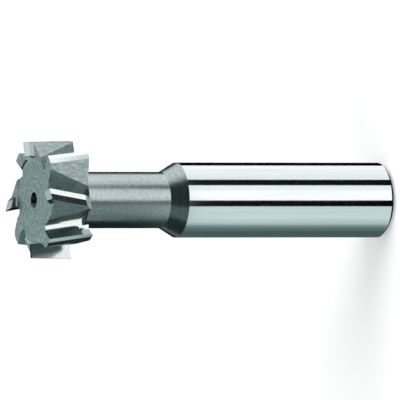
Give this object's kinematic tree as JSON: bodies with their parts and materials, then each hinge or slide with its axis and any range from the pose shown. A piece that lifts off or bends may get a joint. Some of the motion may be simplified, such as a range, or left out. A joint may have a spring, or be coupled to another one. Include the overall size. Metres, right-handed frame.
{
  "type": "t-slot cutter",
  "caption": "Straight-shank milling cutter for T-slots: a wide toothed head with alternately slanted side-cutting teeth on a slim neck.",
  "frame": {"origin": "centre of the shank's flat end face, on which the cutter stands", "axes": "+Z along the tool's axis from the shank's end towards the cutting head; +X points 7 degrees short of one of the teeth that cut on the front face"},
  "size_m": [0.025, 0.025, 0.082],
  "materials": {
    "tool_steel": "bright ground shank, satin turned neck, milled and ground teeth"
  },
  "bodies": {
    "root": {"cutter_body": "tool_steel"}
  },
  "joints": []
}
